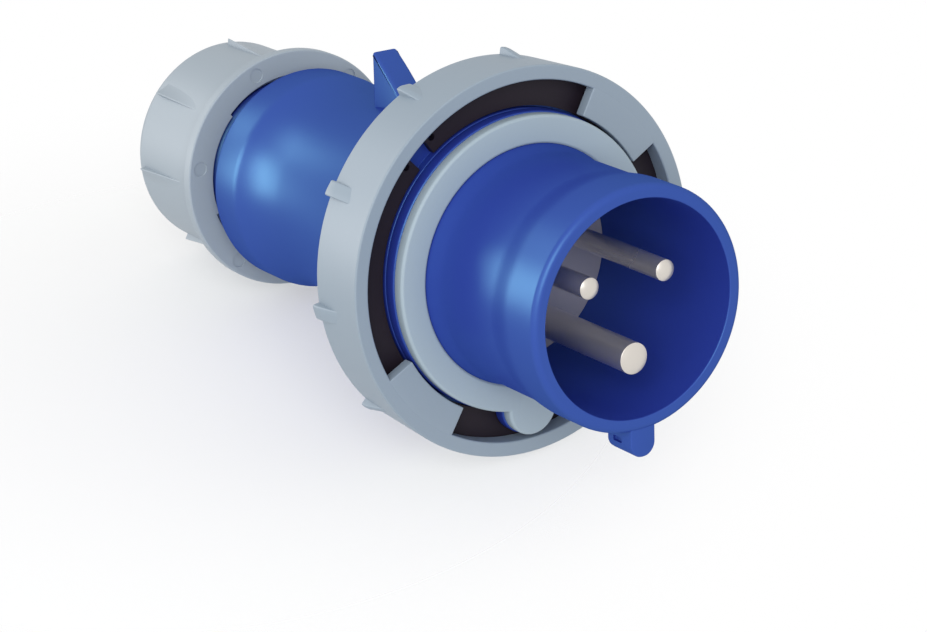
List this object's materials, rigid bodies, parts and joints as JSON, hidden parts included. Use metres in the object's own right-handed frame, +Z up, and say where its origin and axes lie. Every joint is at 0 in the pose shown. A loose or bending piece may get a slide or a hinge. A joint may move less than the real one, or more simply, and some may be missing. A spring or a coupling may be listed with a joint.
{
  "type": "industrial pin and sleeve plug",
  "caption": "Round industrial power plug with a keyed sleeve round its contact pins, a turning bayonet locking ring and a screwed cable gland.",
  "frame": {"origin": "centre of the bounding box in X and Y, on the surface that the plug lies on", "axes": "+X is toward the mouth of the sleeve, +Z is up, and the plug leans up toward its mouth by about 9.1 degrees"},
  "size_m": [0.1926, 0.0966, 0.0957],
  "materials": {
    "housing_blue": "satin moulded",
    "gasket_grey": "matt",
    "carrier_grey": "matt moulded",
    "black_rubber": "matt",
    "screw_steel": "plated",
    "plated_brass": "nickel plated",
    "ring_grey": "satin moulded",
    "nut_grey": "satin moulded",
    "black_plastic": "satin moulded",
    "washer_white": "smooth"
  },
  "bodies": {
    "plug_body": {"shroud": "housing_blue", "flange_gasket": "gasket_grey", "carrier_front": "carrier_grey", "carrier_back": "carrier_grey", "carrier_seal": "black_rubber", "carrier_screws": "screw_steel", "earth_pin": "plated_brass", "live_pin": "plated_brass", "neutral_pin": "plated_brass", "terminal_screws": "screw_steel", "wire_clamp_plates": "screw_steel", "rear_housing": "housing_blue", "housing_seal": "black_rubber", "housing_screws": "screw_steel", "gland_cage": "black_plastic", "gland_bush": "black_rubber"},
    "locking_ring": {"bayonet_ring": "ring_grey", "ring_retainer": "black_plastic"},
    "slip_washer": {"gland_washer": "washer_white"},
    "nut": {"gland_nut": "nut_grey"}
  },
  "joints": [
    {"name": "locking_ring_turn", "type": "hinge", "parent": "plug_body", "child": "locking_ring", "pos_m": [0.04596, 0, 0.0487], "axis": [0.9875, 0, 0.1575], "range_deg": [-109, 19]},
    {"name": "nut_travel", "type": "slide", "parent": "plug_body", "child": "slip_washer", "axis": [-0.9875, 0, -0.1575], "range_m": [0, 0.018]},
    {"name": "nut_turn", "type": "hinge", "parent": "slip_washer", "child": "nut", "pos_m": [-0.07254, 0, 0.02979], "axis": [-0.9875, 0, -0.1575], "range_deg": [0, 2160]}
  ],
  "couplings": [
    {"joint": "nut_travel", "follows": "nut_turn", "m_per_rad": 0.00047746}
  ]
}
